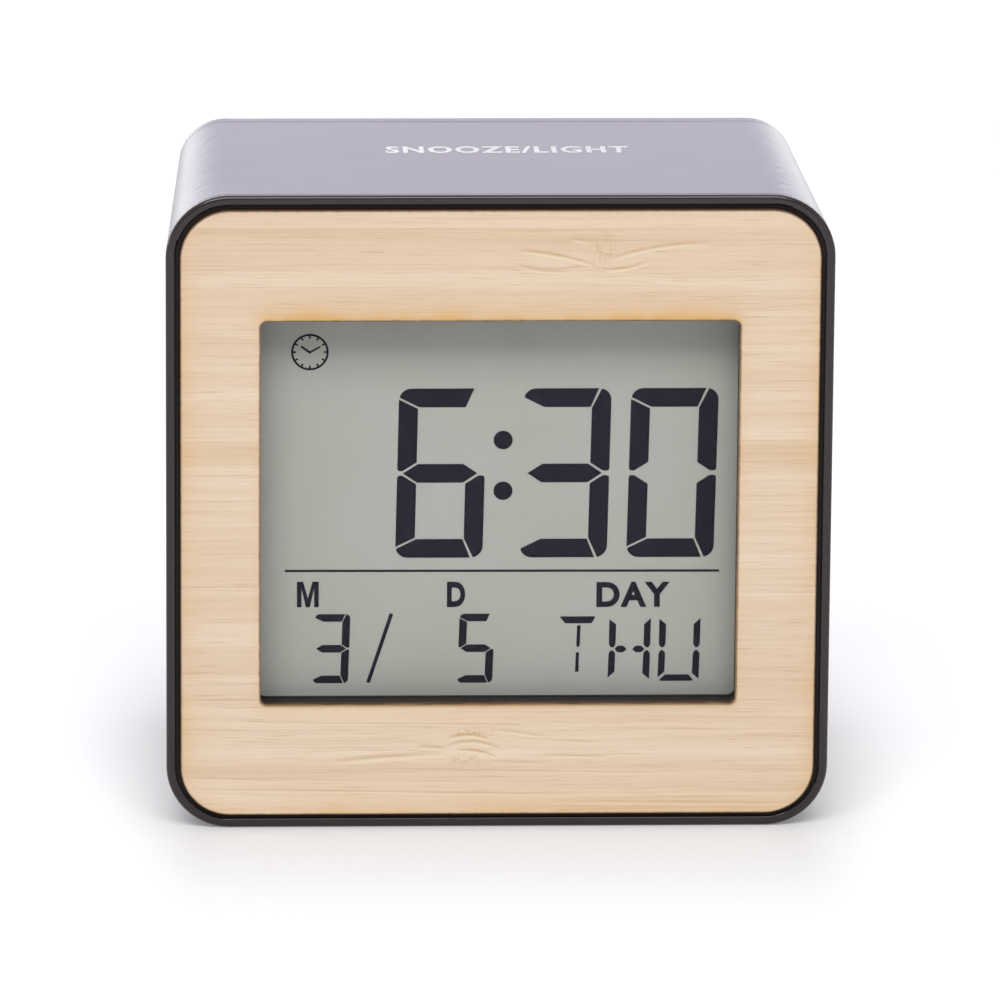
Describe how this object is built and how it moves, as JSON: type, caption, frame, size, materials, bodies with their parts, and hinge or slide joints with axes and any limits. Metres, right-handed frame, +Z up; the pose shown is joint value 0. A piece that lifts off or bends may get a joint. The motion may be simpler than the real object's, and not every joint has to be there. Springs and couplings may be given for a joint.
{
  "type": "desk clock",
  "caption": "Desk clock with a square rounded case, a wooden front panel round a deep-set segment display, a press-down top and rear keys, alarm switch and battery door.",
  "frame": {"origin": "bottom centre of the whole clock, on the surface it stands on", "axes": "+Z up, display faces -Y, +X to the right as the display is read"},
  "size_m": [0.08, 0.0512, 0.0785],
  "materials": {
    "bamboo": "satin",
    "black_gloss": "gloss",
    "black_matte": "matte",
    "clear_lens": "gloss",
    "display_glass": "gloss",
    "display_film": "satin",
    "reflector_film": "satin",
    "light_guide": "gloss",
    "led": "gloss",
    "foam": "matte",
    "tape": "matte",
    "board": "satin",
    "resin": "gloss",
    "can": "bright",
    "steel": "bright",
    "nickel": "bright",
    "cell": "gloss",
    "brass": "satin",
    "cable": "satin"
  },
  "bodies": {
    "clock": {"alarm_switch_body": "black_matte", "backlight_leds": "led", "bamboo_panel": "bamboo", "battery_cells": "cell", "battery_contacts": "nickel", "battery_springs": "nickel", "case_screws": "steel", "chip_parts": "resin", "controller_blob": "resin", "display_front_glass": "display_glass", "display_front_polariser": "display_film", "display_gasket": "foam", "display_holder": "black_matte", "display_lens": "clear_lens", "display_rear_glass": "display_glass", "display_reflector": "reflector_film", "flat_cable": "cable", "front_bezel": "black_gloss", "key_board": "board", "key_board_screws": "steel", "key_switches": "black_matte", "light_guide": "light_guide", "lower_housing": "black_gloss", "main_board": "board", "main_board_screws": "steel", "panel_tape": "tape", "quartz_crystal": "can", "rear_cover": "black_gloss", "snooze_board": "board", "snooze_board_screws": "steel", "snooze_switch_body": "black_matte", "sounder_case": "black_matte", "sounder_disc": "brass", "zebra_strip": "foam"},
    "snooze_cover": {"snooze_light_cover": "black_gloss", "snooze_return_pads": "foam", "snooze_switch_plunger": "black_matte"},
    "mode_button": {"mode_key": "black_matte", "mode_key_plunger": "black_matte"},
    "set_button": {"set_key": "black_matte", "set_key_plunger": "black_matte"},
    "up_button": {"up_key": "black_matte", "up_key_plunger": "black_matte"},
    "down_button": {"down_key": "black_matte", "down_key_plunger": "black_matte"},
    "alarm_knob": {"alarm_switch_knob": "black_matte"},
    "door": {"battery_door": "black_gloss"}
  },
  "joints": [
    {"name": "snooze_press", "type": "slide", "parent": "clock", "child": "snooze_cover", "axis": [0, 0, -1], "range_m": [0, 0.0005], "stiffness_N_per_m": 3000, "springref_m": -0.0001},
    {"name": "mode_press", "type": "slide", "parent": "clock", "child": "mode_button", "axis": [0, -1, 0], "range_m": [0, 0.0006], "stiffness_N_per_m": 2000, "springref_m": -0.0001},
    {"name": "set_press", "type": "slide", "parent": "clock", "child": "set_button", "axis": [0, -1, 0], "range_m": [0, 0.0006], "stiffness_N_per_m": 2000, "springref_m": -0.0001},
    {"name": "up_press", "type": "slide", "parent": "clock", "child": "up_button", "axis": [0, -1, 0], "range_m": [0, 0.0006], "stiffness_N_per_m": 2000, "springref_m": -0.0001},
    {"name": "down_press", "type": "slide", "parent": "clock", "child": "down_button", "axis": [0, -1, 0], "range_m": [0, 0.0006], "stiffness_N_per_m": 2000, "springref_m": -0.0001},
    {"name": "alarm_slide", "type": "slide", "parent": "clock", "child": "alarm_knob", "axis": [1, 0, 0], "range_m": [0, 0.003]},
    {"name": "battery_door_hinge", "type": "hinge", "parent": "clock", "child": "door", "pos_m": [0, 0.024, 0.0088], "axis": [-1, 0, 0], "range_deg": [0, 85]}
  ]
}
